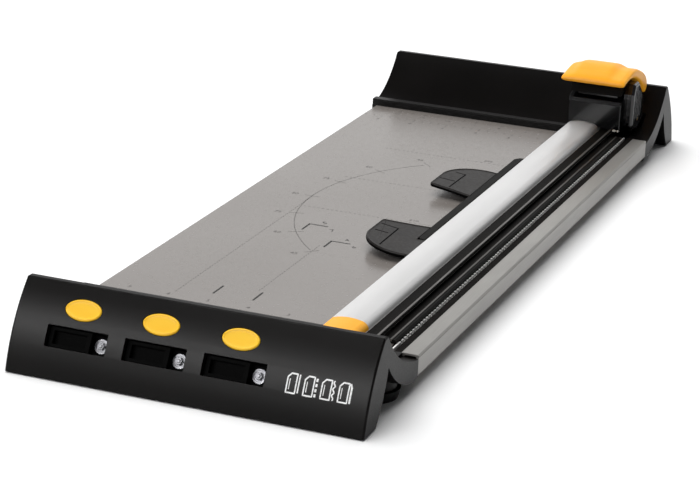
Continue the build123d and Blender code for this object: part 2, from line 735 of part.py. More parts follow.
# ------------------------------------------------------- press head and handle
handle_x0 = cut_x - 46.0
handle_x1 = cut_x + 1.5
block_gap = 0.3
arm_low = body_crest + press_stroke + 0.8
arm_high = 60.4
handle_screw_z = 58.0
handle_screw_r = 1.4
handle_screw_l = 9.0

# cutter cartridge beside the carriage
cart_x0 = body_x1 + 0.3
cart_x1 = cut_x + 3.9
cart_y0 = blade_y - 15.0
cart_y1 = blade_y + 15.0
cart_split = cut_x - 1.0
axle_hole_r = 2.6


# the handle's section, rear end first on the inner arc and front end first on the outer
outer_arc = (from_fence(-15.4, 66.4), from_fence(11.0, 74.4), from_fence(55.5, 51.0))
inner_arc = (from_fence(48.5, 44.0), from_fence(25.0, 60.8), from_fence(-13.8, 62.4))
above_handle = 80.0


def handle_section():
    """Arched section of the saddle handle, with its four corners rounded."""
    with BuildSketch() as section:
        with BuildLine():
            ThreePointArc(*outer_arc)
            Line(outer_arc[2], inner_arc[0])
            ThreePointArc(*inner_arc)
            Line(inner_arc[2], outer_arc[0])
        make_face()
        fillet(section.vertices(), radius=1.9)
    return section.sketch


def handle_screw_holes(mode=Mode.SUBTRACT):
    """Shanks of the two screws that hold the handle to the press block."""
    for x, y in post_xy:
        with Locations((x, well_y0 + 4.0, handle_screw_z)):
            Cylinder(handle_screw_r, handle_screw_l, align=upright, mode=mode)


with BuildPart() as press_block:
    with BuildSketch(yz_plane(well_x0 + block_gap)):
        with BuildLine():
            Polyline((well_y0 + block_gap, block_low), (well_y0 + block_gap, above_handle),
                     (well_y1 - block_gap, above_handle), (well_y1 - block_gap, block_low),
                     (well_y0 + block_gap, block_low))
        make_face()
        with BuildLine():
            ThreePointArc(*inner_arc)
            Polyline(inner_arc[2], (inner_arc[2][0], above_handle),
                     (inner_arc[0][0], above_handle), inner_arc[0])
        make_face(mode=Mode.SUBTRACT)
    extrude(amount=well_x1 - well_x0 - 2 * block_gap)
    # arm over the carriage's right wall that carries the cutter cartridge
    bar(well_x1 - 2.0, cart_x0, well_y0 + 1.0, well_y0 + 13.0, arm_low, arm_high)
    for x, y in post_xy:
        with Locations((x, y, block_low)):
            Cylinder(post_r + 0.05, 14.0, align=upright, mode=Mode.SUBTRACT)
    handle_screw_holes()
save(press_block, "press_block")

with BuildPart() as handle:
    with BuildSketch(yz_plane(handle_x0)):
        add(handle_section())
    extrude(amount=handle_x1 - handle_x0)
    handle_screw_holes()
    ends = handle.faces().filter_by(GeomType.PLANE).filter_by(Axis.X)
    fillet(ends.edges(), radius=1.6)
save(handle, "handle")

with BuildPart() as handle_screws:
    handle_screw_holes(mode=Mode.ADD)
save(handle_screws, "handle_screws")


# -------------------------------------------------- cutter cartridge, in the head
def cartridge_outline(low_arc):
    """Side outline of the cartridge; the guard half reaches lower, round the wheel."""
    with BuildSketch() as outline:
        with BuildLine():
            Polyline((cart_y0, 29.6), (cart_y0, 53.0), (cart_y0 + 3.5, arm_high),
                     (cart_y0 + 14.0, arm_high), (cart_y1, 47.0), (cart_y1, 29.6))
            if low_arc:
                ThreePointArc((cart_y1, 29.6), (blade_y, 24.2), (cart_y0, 29.6))
            else:
                Line((cart_y1, 29.6), (cart_y0, 29.6))
        make_face()
    return outline.sketch


with BuildPart() as cartridge_shell:
    with BuildSketch(yz_plane(cart_x0)):
        add(cartridge_outline(low_arc=False))
    extrude(amount=cart_split - cart_x0)
    with Locations((cart_x0, blade_y, blade_z)):
        Cylinder(axle_hole_r, 30.0, rotation=(0, 90, 0), mode=Mode.SUBTRACT)
save(cartridge_shell, "cartridge_shell")

with BuildPart() as blade_guard:
    with BuildSketch(yz_plane(cart_split)):
        add(cartridge_outline(low_arc=True))
    extrude(amount=cart_x1 - cart_split)
    fillet(blade_guard.faces().sort_by(Axis.X)[-1].edges(), radius=2.4)
    with Locations((cart_split, blade_y, blade_z)):
        Cylinder(blade_r + 1.0, 2.2, rotation=(0, 90, 0), align=upright, mode=Mode.SUBTRACT)
    bar(cart_split, cut_x + 1.2, cart_y0 - 1, cart_y1 + 1, 20.0, blade_z - 1, mode=Mode.SUBTRACT)
    with Locations((cut_x, blade_y, blade_z)):
        Cylinder(axle_hole_r, 30.0, rotation=(0, 90, 0), mode=Mode.SUBTRACT)
save(blade_guard, "blade_guard")

with BuildPart() as axle_bushes:
    for x0, x1 in ((cut_x - 3.6, cut_x - 1.6), (cut_x + 1.5, cut_x + 3.5)):
        with Locations((x0, blade_y, blade_z)):
            Cylinder(axle_hole_r, x1 - x0, rotation=(0, 90, 0), align=upright)
            Cylinder(1.25, x1 - x0, rotation=(0, 90, 0), align=upright, mode=Mode.SUBTRACT)
save(axle_bushes, "axle_bushes")

with BuildPart() as blade:
    with Locations((cut_x, blade_y, blade_z)):
        Cylinder(blade_r, blade_t, rotation=(0, 90, 0))
        Cylinder(3.0, blade_t + 1, rotation=(0, 90, 0), mode=Mode.SUBTRACT)
    rims = blade.edges().filter_by(GeomType.CIRCLE).sort_by(SortBy.RADIUS)[-2:]
    chamfer(rims, length=0.28, length2=1.4)
save(blade, "blade")

with BuildPart() as blade_hub:
    with Locations((cut_x, blade_y, blade_z)):
        Cylinder(1.2, 7.0, rotation=(0, 90, 0))
        Cylinder(3.0, 1.8, rotation=(0, 90, 0))
save(blade_hub, "blade_hub")
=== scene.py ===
"""Looks of the rotary paper trimmer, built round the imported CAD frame, in metres."""
import json
import math

import bmesh
import bpy
from mathutils import Matrix, Vector
from mathutils.bvhtree import BVHTree


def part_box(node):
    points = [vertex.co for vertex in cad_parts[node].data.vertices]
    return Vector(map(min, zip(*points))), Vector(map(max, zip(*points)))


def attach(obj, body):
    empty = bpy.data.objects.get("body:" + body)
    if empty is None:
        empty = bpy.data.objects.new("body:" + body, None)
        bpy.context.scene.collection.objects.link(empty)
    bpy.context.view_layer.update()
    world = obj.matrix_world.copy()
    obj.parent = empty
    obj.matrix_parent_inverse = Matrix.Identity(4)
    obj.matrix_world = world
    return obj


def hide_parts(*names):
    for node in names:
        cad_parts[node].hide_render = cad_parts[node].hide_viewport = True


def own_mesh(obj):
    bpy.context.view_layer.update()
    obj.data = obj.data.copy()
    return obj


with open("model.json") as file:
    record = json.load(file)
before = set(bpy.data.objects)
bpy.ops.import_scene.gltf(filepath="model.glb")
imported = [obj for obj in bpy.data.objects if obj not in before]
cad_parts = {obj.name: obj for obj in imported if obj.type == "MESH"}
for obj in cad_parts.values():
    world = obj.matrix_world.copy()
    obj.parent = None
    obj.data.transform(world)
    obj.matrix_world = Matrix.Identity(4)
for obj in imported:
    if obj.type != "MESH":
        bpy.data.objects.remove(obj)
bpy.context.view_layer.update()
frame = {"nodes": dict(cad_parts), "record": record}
MM = 0.001

# ------------------------------------------------------------ places in the frame
X_AXIS = Vector((1, 0, 0))
CLAMP_TO_CUT = 1.7 * MM
CLAMP_TO_FENCE = 1.5 * MM
table_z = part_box("table_top")[1].z
clamp_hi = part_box("clamp_strip")[1]
cut_x = clamp_hi.x + CLAMP_TO_CUT
fence_y = clamp_hi.y + CLAMP_TO_FENCE


# ---------------------------------------------------------------------- materials
# radii to which the shader rounds edges, in metres
SOFT_EDGE = 0.0004
MEDIUM_EDGE = 0.0003
CRISP_EDGE = 0.0002
SHARP_EDGE = 0.0
METAL_GRAIN = 0.000006
COAT_ROUGHNESS = 0.08


class Finish:
    """A procedural material: a Principled shader and the nodes that feed it."""

    def __init__(self, name, metallic=0.0, specular=0.5, coat=0.0):
        self.material = bpy.data.materials.new(name)
        self.material.use_nodes = True
        self.tree = self.material.node_tree
        self.tree.nodes.clear()
        self.shader = self.add("BsdfPrincipled")
        output = self.add("OutputMaterial")
        self.link(self.shader.outputs["BSDF"], output.inputs["Surface"])
        self.shader.inputs["Metallic"].default_value = metallic
        self.shader.inputs["Specular IOR Level"].default_value = specular
        self.shader.inputs["Coat Weight"].default_value = coat
        self.shader.inputs["Coat Roughness"].default_value = COAT_ROUGHNESS
        self.place = self.add("TexCoord").outputs["Object"]

    def add(self, kind):
        return self.tree.nodes.new("ShaderNode" + kind)

    def link(self, output, socket):
        self.tree.links.new(output, socket)

    def noise(self, size, detail=3.0, stretch=(1, 1, 1)):
        """Noise whose features are about size metres, drawn out by stretch."""
        mapping = self.add("Mapping")
        mapping.inputs["Scale"].default_value = [1 / (size * s) for s in stretch]
        self.link(self.place, mapping.inputs["Vector"])
        texture = self.add("TexNoise")
        texture.inputs["Scale"].default_value = 1.0
        texture.inputs["Detail"].default_value = detail
        self.link(mapping.outputs["Vector"], texture.inputs["Vector"])
        return texture.outputs["Fac"]

    def spread(self, value, low, high, start=0.3, end=0.7):
        """Map a value from start..end to low..high."""
        node = self.add("MapRange")
        node.inputs["From Min"].default_value = start
        node.inputs["From Max"].default_value = end
        node.inputs["To Min"].default_value = low
        node.inputs["To Max"].default_value = high
        self.link(value, node.inputs["Value"])
        return node.outputs["Result"]

    def colour(self, value, low, high):
        """Base colour between two tones."""
        mix = self.add("Mix")
        mix.data_type = "RGBA"
        mix.inputs["A"].default_value = (*low, 1)
        mix.inputs["B"].default_value = (*high, 1)
        self.link(self.spread(value, 0.0, 1.0), mix.inputs["Factor"])
        self.link(mix.outputs["Result"], self.shader.inputs["Base Color"])

    def roughness(self, value, low, high):
        """Roughness between two values."""
        self.link(self.spread(value, low, high), self.shader.inputs["Roughness"])

    def relief(self, heights, edge):
        """Bump layers (value, height in metres) over edges that the shader rounds by edge."""
        normal = None
        if edge:
            bevel = self.add("Bevel")
            bevel.samples = 4
            bevel.inputs["Radius"].default_value = edge
            normal = bevel.outputs["Normal"]
        for value, height in heights:
            bump = self.add("Bump")
            bump.inputs["Strength"].default_value = 1.0
            bump.inputs["Distance"].default_value = height
            self.link(value, bump.inputs["Height"])
            if normal is not None:
                self.link(normal, bump.inputs["Normal"])
            normal = bump.outputs["Normal"]
        self.link(normal, self.shader.inputs["Normal"])


def tones(tone, low, high):
    """One colour made darker by the factor low, and lighter by the factor high."""
    return [c * low for c in tone], [min(1, c * high) for c in tone]


def black_plastic(name, tone, rough, grain, specular, coat=0.0, edge=SOFT_EDGE):
    """Moulded black plastic: spark-eroded grain, faint clouding and uneven sheen."""
    finish = Finish(name, specular=specular, coat=coat)
    clouds = finish.noise(0.05)
    specks = finish.noise(0.0006, detail=2.0)
    waves = finish.noise(0.02)
    finish.colour(clouds, *tones(tone, 0.8, 1.25))
    finish.roughness(specks, rough - 0.05, rough + 0.05)
    finish.relief([(specks, grain), (waves, 0.00004)], edge)
    return finish.material


def yellow_plastic(name, low, high):
    """Satin yellow moulding with a faint flow pattern."""
    finish = Finish(name, specular=0.25)
    flow = finish.noise(0.012, stretch=(3, 1, 1))
    finish.colour(flow, low, high)
    finish.roughness(finish.noise(0.001), 0.36, 0.46)
    finish.relief([(finish.noise(0.0007), 0.000012)], SOFT_EDGE)
    return finish.material


def smoke_plastic(name, tone, rough, specular):
    """Dark smoke-tinted moulding, nearly opaque, with a soft sheen."""
    finish = Finish(name, specular=specular)
    finish.colour(finish.noise(0.02), *tones(tone, 0.85, 1.15))
    finish.roughness(finish.noise(0.002), rough - 0.04, rough + 0.06)
    finish.relief([(finish.noise(0.0008), 0.000008)], SOFT_EDGE)
    return finish.material


def table_paint():
    """Warm grey satin coating with a very fine orange peel."""
    finish = Finish("table_paint", specular=0.5)
    finish.colour(finish.noise(0.12), (0.175, 0.158, 0.145), (0.195, 0.178, 0.165))
    finish.roughness(finish.noise(0.003), 0.2, 0.28)
    orange_peel = finish.noise(0.0015)
    waves = finish.noise(0.08)
    finish.relief([(orange_peel, 0.000005), (waves, 0.00006)], SHARP_EDGE)
    return finish.material


def satin_metal(name, low, high, rough, stretch, metallic=1.0):
    """Satin metal with fine lines drawn out by stretch."""
    finish = Finish(name, metallic=metallic)
    lines = finish.noise(0.0004, detail=4.0, stretch=stretch)
    blotch = finish.noise(0.03, stretch=(1, 4, 1))
    finish.colour(blotch, low, high)
    finish.roughness(lines, rough - 0.06, rough + 0.08)
    finish.relief([(lines, METAL_GRAIN)], CRISP_EDGE)
    return finish.material


def rail_metal():
    """Pale anodised rail whose channel, right of the crown, is darker bare metal."""
    finish = Finish("rail_silver", metallic=0.55)
    lines = finish.noise(0.0004, detail=4.0, stretch=(1, 40, 1))
    blotch = finish.noise(0.03, stretch=(1, 4, 1))
    finish.colour(blotch, (0.76, 0.755, 0.75), (0.82, 0.815, 0.81))
    split = finish.add("SeparateXYZ")
    finish.link(finish.place, split.inputs["Vector"])
    crown_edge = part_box("glide_strip")[0].x - 0.7 * MM
    blend = 0.1 * MM
    side = finish.spread(split.outputs["X"], 0.0, 1.0, crown_edge, crown_edge + blend)
    channel = finish.add("Mix")
    channel.data_type = "RGBA"
    channel.inputs["B"].default_value = (0.13, 0.122, 0.115, 1)
    base = finish.shader.inputs["Base Color"]
    finish.link(side, channel.inputs["Factor"])
    finish.link(base.links[0].from_socket, channel.inputs["A"])
    finish.link(channel.outputs["Result"], base)
    finish.roughness(lines, 0.36, 0.5)
    finish.relief([(lines, METAL_GRAIN)], CRISP_EDGE)
    return finish.material


def rubber(name, tone, specular=0.15):
    """Matt moulded rubber with a coarse grain."""
    finish = Finish(name, specular=specular)
    finish.colour(finish.noise(0.006), *tones(tone, 0.7, 1.3))
    finish.roughness(finish.noise(0.001), 0.72, 0.86)
    finish.relief([(finish.noise(0.0005), 0.00003)], MEDIUM_EDGE)
    return finish.material


def pale_plastic(name, tone, rough):
    """Pale undyed moulding."""
    finish = Finish(name, specular=0.4)
    finish.colour(finish.noise(0.004), *tones(tone, 0.93, 1.05))
    finish.roughness(finish.noise(0.001), rough - 0.06, rough + 0.06)
    finish.relief([(finish.noise(0.0008), 0.00001)], CRISP_EDGE)
    return finish.material


def ink(name, tone):
    """Screen-printed ink with slightly uneven cover."""
    finish = Finish(name, specular=0.3)
    finish.colour(finish.noise(0.0012), *tones(tone, 0.8, 1.2))
    finish.roughness(finish.noise(0.001), 0.4, 0.55)
    finish.relief([(finish.noise(0.0006), 0.000005)], SHARP_EDGE)
    return finish.material


LOOKS = {
    "cap_black": black_plastic("cap_black", (0.0032, 0.0027, 0.0025), 0.38, 0.000012, 0.13),
    "inner_black": black_plastic("inner_black", (0.004, 0.0035, 0.003), 0.6, 0.00002, 0.06),
    "clamp_black": black_plastic("clamp_black", (0.005, 0.0045, 0.004), 0.55, 0.00001, 0.08),
    "gloss_black": black_plastic("gloss_black", (0.0025, 0.0025, 0.003), 0.12, 0.000002,
                                 specular=0.2, coat=0.05, edge=MEDIUM_EDGE),
    # Extra-dark black with hardly any sheen that paints shade: the stored cartridges in their
    # window recesses, the finger pads' walls and the pads' grip lines.
    "deep_black": black_plastic("deep_black", (0.0015, 0.0015, 0.0015), 0.65, 0.00001, 0.03),
    "smoke_plastic": smoke_plastic("smoke_plastic", (0.02, 0.018, 0.017), 0.4, specular=0.12),
    "smoke_guard": smoke_plastic("smoke_guard", (0.01, 0.01, 0.011), 0.14, specular=0.5),
    "accent_yellow": yellow_plastic("accent_yellow", (0.94, 0.38, 0.014), (0.97, 0.44, 0.022)),
    "button_yellow": yellow_plastic("button_yellow", (0.97, 0.53, 0.02), (0.99, 0.59, 0.03)),
    "table_grey": table_paint(),
    "rail_silver": rail_metal(),
    "bed_aluminium": satin_metal("bed_aluminium", (0.3, 0.29, 0.275), (0.36, 0.35, 0.33), 0.42,
                                 (1, 40, 1), metallic=0.45),
    "channel_metal": satin_metal("channel_metal", (0.1, 0.094, 0.088), (0.15, 0.142, 0.134), 0.45,
                                 (1, 40, 1), metallic=0.6),
    # Near-white and barely metallic, so the ledger strip's teeth read as a row of bright dots:
    # painted highlight on the teeth.
    "tooth_painted_highlight": satin_metal("tooth_painted_highlight", (0.86, 0.85, 0.83), (0.93, 0.92, 0.9), 0.4,
                                (1, 4, 1), metallic=0.1),
    "cutting_mat": rubber("cutting_mat", (0.007, 0.006, 0.0055), specular=0.06),
    "rubber": rubber("rubber", (0.01, 0.01, 0.01)),
    "nylon": pale_plastic("natural_nylon", (0.68, 0.66, 0.6), 0.46),
    "steel": satin_metal("steel", (0.62, 0.62, 0.63), (0.72, 0.72, 0.73), 0.25, (1, 1, 8)),
    # Darkened steel that paints shade on the middle of the stored cartridges' wheels.
    "dark_steel": satin_metal("dark_steel", (0.1, 0.1, 0.105), (0.15, 0.15, 0.16), 0.35,
                              (1, 1, 1)),
    "brass": satin_metal("bronze_bush", (0.6, 0.44, 0.2), (0.7, 0.53, 0.26), 0.35, (1, 1, 1)),
    "grey_ink": ink("grey_ink", (0.075, 0.069, 0.065)),
    "black_ink": ink("black_ink", (0.012, 0.011, 0.01)),
    "white_ink": ink("white_ink", (0.85, 0.85, 0.84)),
}
# The stored cartridges and their rack are black plastic painted darker still, as the shade inside
# the cap's windows.
OWN_LOOKS = {"cartridge_rack": "deep_black", "ledger_strip": "tooth_painted_highlight",
             "clamp_inlay": "channel_metal"}
OWN_LOOKS.update({"stored_cartridge_%d" % i: "deep_black" for i in (1, 2, 3)})

for part in frame["record"]["subparts"]:
    node = frame["nodes"][part["node"]]
    look = OWN_LOOKS.get(part["node"], part["material_slot"])
    node.data.materials.clear()
    node.data.materials.append(LOOKS[look])


# ------------------------------------------------------------------ mesh building
SAME_POINT = 1e-7    # vertices closer than this are one


def piece(name, verts, faces, look, body, slot, crease=35.0):
    """Mesh object with outward normals, riding on a body; edges over crease degrees stay sharp."""
    mesh = bpy.data.meshes.new(name)
    mesh.from_pydata([tuple(v) for v in verts], [], faces)
    work = bmesh.new()
    work.from_mesh(mesh)
    bmesh.ops.remove_doubles(work, verts=work.verts, dist=SAME_POINT)
    bmesh.ops.recalc_face_normals(work, faces=work.faces)
    work.to_mesh(mesh)
    work.free()
    mesh.shade_smooth()
    mesh.set_sharp_from_angle(angle=math.radians(crease))
    mesh.materials.append(LOOKS[look])
    made = bpy.data.objects.new(name, mesh)
    bpy.context.scene.collection.objects.link(made)
    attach(made, body)
    return made


def joined_loops(loops):
    """Verts and faces of a skin over equal loops of points; the two ends are left open."""
    count = len(loops[0])
    verts = [p for loop in loops for p in loop]
    faces = []
    for a in range(len(loops) - 1):
        here = a * count
        there = here + count
        for b in range(count):
            c = (b + 1) % count
            faces.append((here + b, here + c, there + c, there + b))
    return verts, faces


def capped_loops(loops):
    """Verts and faces of a skin over equal loops of points, with a face over each end."""
    verts, faces = joined_loops(loops)
    count = len(loops[0])
    faces.append(tuple(range(count)))
    faces.append(tuple(range(len(verts) - count, len(verts))))
    return verts, faces


def oval_ring(centre, across, over, half_across, half_over, sides):
    """Points round an ellipse with half axes along across and over."""
    return [centre + across * (half_across * math.cos(2 * math.pi * k / sides))
            + over * (half_over * math.sin(2 * math.pi * k / sides))
            for k in range(sides)]


def catmull(points, steps):
    """Smooth line through 2-D or 3-D points, with steps spans between each pair."""
    ends = [2 * points[0] - points[1]] + list(points) + [2 * points[-1] - points[-2]]
    line = []
    for i in range(1, len(ends) - 2):
        p0, p1, p2, p3 = ends[i - 1:i + 3]
        for k in range(steps):
            t = k / steps
            line.append(0.5 * (2 * p1 + (p2 - p0) * t + (2 * p0 - 5 * p1 + 4 * p2 - p3) * t * t
                               + (3 * p1 - p0 - 3 * p2 + p3) * t ** 3))
    line.append(points[-1])
    return line


def resampled(line, count):
    """The line as count points at equal distances."""
    reach = [0.0]
    for a, b in zip(line, line[1:]):
        reach.append(reach[-1] + (b - a).length)
    out = []
    j = 0
    for i in range(count):
        want = reach[-1] * i / (count - 1)
        while j < len(line) - 2 and reach[j + 1] < want:
            j += 1
        span = max(reach[j + 1] - reach[j], 1e-12)
        out.append(line[j].lerp(line[j + 1], min(1.0, (want - reach[j]) / span)))
    return out


def arc_through(a, b, c, count):
    """count points on the circle through three 2-D points, from a to c."""
    d = 2 * (a.x * (b.y - c.y) + b.x * (c.y - a.y) + c.x * (a.y - b.y))
    aa, bb, cc = a.length_squared, b.length_squared, c.length_squared
    ux = aa * (b.y - c.y) + bb * (c.y - a.y) + cc * (a.y - b.y)
    uy = aa * (c.x - b.x) + bb * (a.x - c.x) + cc * (b.x - a.x)
    centre = Vector((ux / d, uy / d))
    start = math.atan2(a.y - centre.y, a.x - centre.x)
    turn = math.atan2(c.y - centre.y, c.x - centre.x) - start
    middle = math.atan2(b.y - centre.y, b.x - centre.x) - start
    if turn * middle < 0 or abs(middle) > abs(turn):
        turn -= math.copysign(2 * math.pi, turn)
    radius = (a - centre).length
    angles = [start + turn * k / (count - 1) for k in range(count)]
    return [centre + radius * Vector((math.cos(t), math.sin(t))) for t in angles]


def lathe(profile, centre, axis, sides=48, flatten=1.0):
    """Turned shape with flat ends, from a profile of (radius, height along the axis).

    The axis is square to X; flatten scales the radius across both.
    """
    axis = axis.normalized()
    over = axis.cross(X_AXIS).normalized()
    return capped_loops([oval_ring(centre + axis * height, X_AXIS, over, radius,
                                   radius * flatten, sides)
                         for radius, height in profile])


def in_metres(pairs):
    """Pairs of numbers in mm, in metres."""
    return [(a * MM, b * MM) for a, b in pairs]


def merged(parts):
    """Several (verts, faces) as one."""
    verts, faces = [], []
    for some_verts, some_faces in parts:
        base = len(verts)
        verts += list(some_verts)
        faces += [tuple(base + i for i in face) for face in some_faces]
    return verts, faces


def brick(lo, hi):
    """Closed box between two corners, as verts and faces."""
    verts = [(x, y, z) for x in (lo[0], hi[0]) for y in (lo[1], hi[1]) for z in (lo[2], hi[2])]
    faces = [(0, 1, 3, 2), (4, 6, 7, 5), (0, 4, 5, 1), (2, 3, 7, 6), (0, 2, 6, 4), (1, 5, 7, 3)]
    return verts, faces


# ------------------------------------------------------------------------- handle
CROWN_SHIFT = -3.1 * MM
CROWN_HALF = 14.1 * MM
CROWN_STEP = 6.5 * MM
CROWN_HEIGHT = 2.4 * MM
CROWN_END = 0.92    # share of the outer line where the crown runs out
CROWN_POWER = 0.8
# (distance from the handle's end, how far the section shrinks there), in mm
HANDLE_END = [(0.0, 1.8), (0.45, 1.05), (1.3, 0.45), (2.6, 0.1), (4.2, 0.0)]
HANDLE_STATIONS = 22
END_SPANS = 1.2    # gap between the first of these stations and the handle's end, in their pitch


def q(y, z):
    """Point of the carriage's side view in mm: y from the rear fence, z from the floor."""
    return Vector((fence_y + y * MM, z * MM))


def crown(x, middle):
    """0 beside the handle's crown, 1 on it, with soft shoulders."""
    t = (CROWN_HALF + CROWN_STEP / 2 - abs(x - middle)) / CROWN_STEP
    t = max(0.0, min(1.0, t))
    return t * t * (3 - 2 * t)


def crown_bulge(k, count):
    """Share of the crown's height at point k of the outer line."""
    share = k / (count - 1)
    return math.sin(math.pi * share / CROWN_END) ** CROWN_POWER if share < CROWN_END else 0.0


def saddle_handle():
    """Arched grip over the carriage: thick lips, rounded ends and a soft crown in its middle."""
    lo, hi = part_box("handle")
    count = 26
    outer_marks = [q(-15.2, 64.8), q(-13.4, 67.0), q(-4.4, 68.4), q(6.4, 69.8), q(14, 70.2),
                   q(25, 68.6), q(35, 65.6), q(44.2, 61.8), q(51, 57.4), q(54.6, 52),
                   q(53.6, 47.2)]
    outer = resampled(catmull(outer_marks, 6), count)
    inner = arc_through(q(-13.4, 62.6), q(25, 60.8), q(48.6, 44.4), count)
    loop = outer + inner[::-1]
    middle = (lo.x + hi.x) / 2 + CROWN_SHIFT
    width = hi.x - lo.x
    ends = in_metres(HANDLE_END)
    stations = [(lo.x + a, b) for a, b in ends]
    spans = HANDLE_STATIONS - 1 + 2 * END_SPANS
    stations += [(lo.x + width * (k + END_SPANS) / spans, 0.0) for k in range(HANDLE_STATIONS)]
    stations += [(hi.x - a, b) for a, b in ends[::-1]]

    loops = []
    for x, inset in stations:
        ring = []
        for k, point in enumerate(loop):
            before = loop[k - 1]
            after = loop[(k + 1) % len(loop)]
            along = (after - before).normalized()
            inward = Vector((along.y, -along.x))
            moved = point + inward * inset
            if k < count:
                rise = crown(x, middle) * CROWN_HEIGHT * crown_bulge(k, count)
                moved = moved - inward * rise
            ring.append(Vector((x, moved.x, moved.y)))
        loops.append(ring)
    verts, faces = joined_loops(loops)
    size = len(loop)
    for base in (0, (len(loops) - 1) * size):
        for k in range(count - 1):
            faces.append((base + k, base + k + 1, base + size - 2 - k, base + size - 1 - k))
    handle = piece("grip_handle", verts, faces, "accent_yellow", "press_head", "accent_yellow", 60)
    rounding = handle.modifiers.new("rounding", "SUBSURF")
    rounding.levels = 2
    rounding.render_levels = 2
    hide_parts("handle")


def press_cowl():
    """Black cowl round the press block that fills the arch under the handle."""
    lo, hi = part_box("carriage_body")
    low = [q(3.0, 51.9), q(14.5, 55.0), q(27.5, 55.0), q(38.5, 48.2)]
    arch = [p for p in arc_through(q(-13.8, 62.3), q(25, 60.7), q(48.5, 43.9), 60)
            if low[0].x <= p.x <= low[-1].x]
    section = low + arch[::-1]
    middle = sum(section, Vector((0, 0))) / len(section)
    # (distance from the body's end, how far the section shrinks there)
    rounded_end = in_metres([(0.6, 0.8), (1.0, 0.25), (1.6, 0.0)])
    stations = [(lo.x + inset, shrink) for inset, shrink in rounded_end]
    stations += [(hi.x - inset, shrink) for inset, shrink in rounded_end[::-1]]
    loops = [[Vector((x, *(p + (middle - p).normalized() * shrink))) for p in section]
             for x, shrink in stations]
    piece("press_cowl", *capped_loops(loops), "inner_black", "press_head", "inner_black", 30)


# ------------------------------------------------------------------ eject buttons
# directions out of the front cap's face at the buttons and at the windows below them
button_out = Vector((0, -0.75, 0.66)).normalized()
window_out = Vector((0, -0.874, 0.486)).normalized()
BUTTON_PAST_FENCE = 71.9 * MM
BUTTON_HEIGHT = 37.6 * MM
BUTTON_HALF_X = 11.0 * MM
BUTTON_HALF_Y = 6.2 * MM
BUTTON_SIDES = 72
# (inset from the oval, height above the cap's face) in mm, from the flange to the dish
BUTTON_PROFILE = [(-1.2, -5.8), (-1.2, -4.4), (0.0, -4.4), (0.0, 0.1), (0.12, 0.45), (0.4, 0.72),
                  (0.8, 0.82), (1.15, 0.74), (1.4, 0.56), (1.8, 0.46), (3.0, 0.44), (5.2, 0.42)]


def button_centre(i):
    """Middle of a button where its axis meets the front cap's face."""
    lo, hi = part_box("button_%d" % i)
    return Vector(((lo.x + hi.x) / 2, -(fence_y + BUTTON_PAST_FENCE), BUTTON_HEIGHT))


def eject_button(i):
    """Oval button with a raised rim round a shallow dish, and a stop flange inside."""
    name = "button_%d" % i
    over = button_out.cross(X_AXIS).normalized()
    centre = button_centre(i)
    loops = [oval_ring(centre + button_out * height, X_AXIS, over, BUTTON_HALF_X - inset,
                       BUTTON_HALF_Y - inset, BUTTON_SIDES)
             for inset, height in in_metres(BUTTON_PROFILE)]
    button = piece("oval_button_%d" % i, *capped_loops(loops), "button_yellow", name,
                   "accent_yellow", 40)
    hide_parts(name)


# ------------------------------------------------------------------------ springs
CLOSED_UP = 0.14    # share of a spring's rise that eases in and out at its ends


def coil(start, end, radius, wire, turns, sides=8, per_turn=20):
    """Helical wire of radius wire between two points, with its end turns closer together."""
    axis = (end - start).normalized()
    across = axis.orthogonal().normalized()
    over = axis.cross(across)
    reach = (end - start).length - 2 * wire
    count = int(turns * per_turn)
    path = []
    for k in range(count + 1):
        t = k / count
        rise = wire + reach * (t * (1 - CLOSED_UP) + CLOSED_UP * (3 * t * t - 2 * t ** 3))
        angle = 2 * math.pi * turns * t
        path.append(start + axis * rise
                    + (across * math.cos(angle) + over * math.sin(angle)) * radius)
    loops = []
    for k, point in enumerate(path):
        along = (path[min(k + 1, count)] - path[max(k - 1, 0)]).normalized()
        out = point - start
        out = (out - axis * out.dot(axis)).normalized()
        side = along.cross(out).normalized()
        out = side.cross(along)
        loops.append([point + (out * math.cos(2 * math.pi * j / sides)
                               + side * math.sin(2 * math.pi * j / sides)) * wire
                      for j in range(sides)])
    return capped_loops(loops)


def press_spring_pair():
    """Two coil springs that lift the cutting head."""
    lo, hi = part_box("press_springs")
    middle = (lo.y + hi.y) / 2
    inset = (hi.y - lo.y) / 2
    parts = [coil(Vector((x, middle, lo.z)), Vector((x, middle, hi.z)), inset - 0.45 * MM,
                  wire=0.36 * MM, turns=5)
             for x in (lo.x + inset, hi.x - inset)]
    springs = piece("coil_springs_press", *merged(parts), "steel", "carriage", "steel", 60)
    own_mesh(springs)
    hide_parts("press_springs")


def button_spring(i):
    """Coil spring behind one eject button."""
    name = "button_spring_%d" % i
    centre = button_centre(i)
    low = centre - button_out * 10.4 * MM
    high = centre - button_out * 5.8 * MM
    wire = coil(low, high, radius=2.2 * MM, wire=0.3 * MM, turns=4)
    spring = piece("coil_spring_button_%d" % i, *wire, "steel", "root", "steel", 60)
    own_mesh(spring)
    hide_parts(name)


def clamp_spring_pair():
    """Two torsion springs round the clamp's hinge rod."""
    lo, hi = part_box("clamp_springs")
    x, z = (lo.x + hi.x) / 2, (lo.z + hi.z) / 2
    length = 30 * MM
    parts = [coil(Vector((x, y, z)), Vector((x, y + length, z)), radius=1.58 * MM,
                  wire=0.26 * MM, turns=26, sides=6, per_turn=16)
             for y in (lo.y, hi.y - length)]
    springs = piece("coil_springs_clamp", *merged(parts), "steel", "root", "steel", 60)
    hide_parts("clamp_springs")


